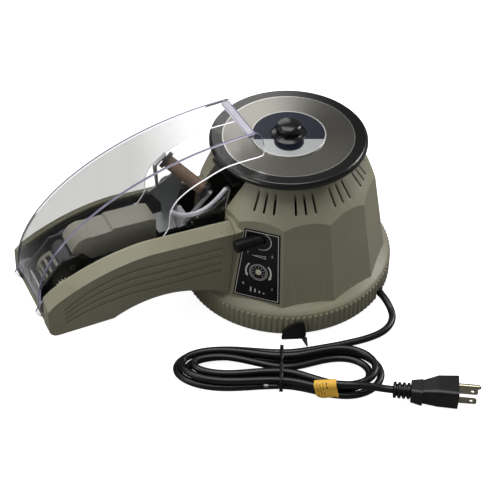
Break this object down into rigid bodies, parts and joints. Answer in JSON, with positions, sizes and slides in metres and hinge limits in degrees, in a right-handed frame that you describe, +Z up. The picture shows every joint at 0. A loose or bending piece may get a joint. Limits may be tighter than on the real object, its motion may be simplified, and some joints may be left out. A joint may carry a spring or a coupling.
{
  "type": "electric tape dispenser",
  "caption": "Counter-top powered tape dispenser: round fluted base, flat reel on a drum, side arm with a clear hinged cover, feed rollers, cutter and mains cord.",
  "frame": {"origin": "where the reel's axis meets the surface that the dispenser stands on", "axes": "+Z up along the reel's axis, the arm points along -X, the control panel faces between -X and -Y"},
  "size_m": [0.3922, 0.3564, 0.204],
  "materials": {
    "khaki_abs": "moulded, fine spark texture",
    "black_abs": "moulded, satin",
    "black_plate": "satin, turned rings",
    "badge_foil": "printed foil",
    "label_black": "printed film",
    "clear_acrylic": "bent clear sheet",
    "zinc_steel": "zinc plated",
    "ground_steel": "ground",
    "chrome_screw": "plated",
    "rubber_black": "moulded",
    "grey_nylon": "moulded",
    "white_nylon": "moulded gear nylon",
    "amber_nylon": "turned sleeve",
    "circuit": "laminate with parts",
    "copper_core": "wound transformer",
    "cord_pvc": "PVC sheath",
    "tie_wire": "coated wire",
    "tag_paper": "coated paper",
    "plated_brass": "nickel plated"
  },
  "bodies": {
    "root": {"base_ring": "khaki_abs", "base_plate": "zinc_steel", "base_screws": "zinc_steel", "suction_foot_front": "rubber_black", "suction_foot_far": "rubber_black", "suction_foot_rear": "rubber_black", "arm_pad": "rubber_black", "drum_housing": "khaki_abs", "control_label": "label_black", "arm_shell_near": "khaki_abs", "arm_shell_far": "khaki_abs", "arm_belly": "khaki_abs", "arm_chassis": "black_abs", "shell_screws": "zinc_steel", "tape_hood": "khaki_abs", "turn_bracket": "grey_nylon", "tape_guard": "clear_acrylic", "outlet_grille": "khaki_abs", "fixed_blade": "ground_steel", "feed_motor": "zinc_steel", "cutter_motor": "zinc_steel", "transformer": "copper_core", "circuit_board": "circuit", "spindle_bearing": "zinc_steel", "hinge_screws": "chrome_screw", "cord_gland": "rubber_black", "cord_lead": "cord_pvc", "cord_hank": "cord_pvc", "cord_tail": "cord_pvc", "hank_tie": "tie_wire", "cord_tag": "tag_paper", "plug_body": "cord_pvc", "plug_pins": "plated_brass"},
    "carousel": {"reel_platter": "black_abs", "reel_spindle": "ground_steel"},
    "retainer": {"reel_plate": "black_plate", "reel_badge": "badge_foil"},
    "knob": {"lock_knob": "black_abs"},
    "cover": {"clear_cover": "clear_acrylic", "cover_bushes": "grey_nylon"},
    "width_control": {"width_knob": "black_abs", "width_shaft": "ground_steel"},
    "tape_guide": {"width_guide": "black_abs"},
    "length_control": {"length_trimmer": "white_nylon"},
    "feed": {"feed_roller": "rubber_black", "feed_shaft": "ground_steel", "feed_gear": "white_nylon"},
    "idler": {"idler_gear": "white_nylon"},
    "motor_rotor": {"motor_pinion": "ground_steel"},
    "press": {"pressure_roller": "rubber_black"},
    "cutter_rotor": {"blade_pinion": "ground_steel"},
    "blade": {"moving_blade": "ground_steel"},
    "turn": {"turn_roller": "amber_nylon"}
  },
  "joints": [
    {"name": "reel_spin", "type": "hinge", "parent": "root", "child": "carousel", "pos_m": [0, 0, 0.12], "axis": [0, 0, 1], "continuous": true},
    {"name": "plate_lift", "type": "slide", "parent": "carousel", "child": "retainer", "axis": [0, 0, 1], "range_m": [0, 0.0075]},
    {"name": "knob_turn", "type": "hinge", "parent": "retainer", "child": "knob", "pos_m": [0, 0, 0.165], "axis": [0, 0, 1], "range_deg": [0, 90]},
    {"name": "cover_open", "type": "hinge", "parent": "root", "child": "cover", "pos_m": [-0.259, 0, 0.08], "axis": [0, -1, 0], "range_deg": [0, 80]},
    {"name": "width_turn", "type": "hinge", "parent": "root", "child": "width_control", "pos_m": [-0.06194, -0.05756, 0.10316], "axis": [1, 0, 0], "range_deg": [0, 103]},
    {"name": "guide_lift", "type": "slide", "parent": "root", "child": "tape_guide", "axis": [0, 0, 1], "range_m": [0, 0.009]},
    {"name": "length_turn", "type": "hinge", "parent": "root", "child": "length_control", "pos_m": [-0.06375, -0.06375, 0.0676], "axis": [-0.6983, -0.6983, 0.157], "range_deg": [-135, 135]},
    {"name": "feed_spin", "type": "hinge", "parent": "root", "child": "feed", "pos_m": [-0.238, 0, 0.086], "axis": [0, 1, 0], "continuous": true},
    {"name": "idler_spin", "type": "hinge", "parent": "root", "child": "idler", "pos_m": [-0.21413, -0.022, 0.08349], "axis": [0, 1, 0], "continuous": true},
    {"name": "motor_spin", "type": "hinge", "parent": "root", "child": "motor_rotor", "pos_m": [-0.19542, -0.022, 0.08679], "axis": [0, 1, 0], "continuous": true},
    {"name": "press_spin", "type": "hinge", "parent": "root", "child": "press", "pos_m": [-0.23032, 0, 0.10501], "axis": [0, 1, 0], "continuous": true},
    {"name": "cutter_turn", "type": "hinge", "parent": "root", "child": "cutter_rotor", "pos_m": [-0.247, 0, 0.0685], "axis": [0, 1, 0], "range_deg": [0, 74]},
    {"name": "blade_slide", "type": "slide", "parent": "root", "child": "blade", "axis": [0, 0, 1], "range_m": [0, 0.0064]},
    {"name": "turn_spin", "type": "hinge", "parent": "root", "child": "turn", "pos_m": [-0.093, -0.013, 0.14], "axis": [-0.5465, 0.6599, 0.5156], "continuous": true}
  ],
  "couplings": [
    {"joint": "guide_lift", "follows": "width_turn", "m_per_rad": 0.005},
    {"joint": "idler_spin", "follows": "feed_spin", "ratio": -0.84615},
    {"joint": "motor_spin", "follows": "feed_spin", "ratio": 1.8333},
    {"joint": "press_spin", "follows": "feed_spin", "ratio": -1.5},
    {"joint": "cutter_turn", "follows": "blade_slide", "rad_per_m": 200}
  ]
}
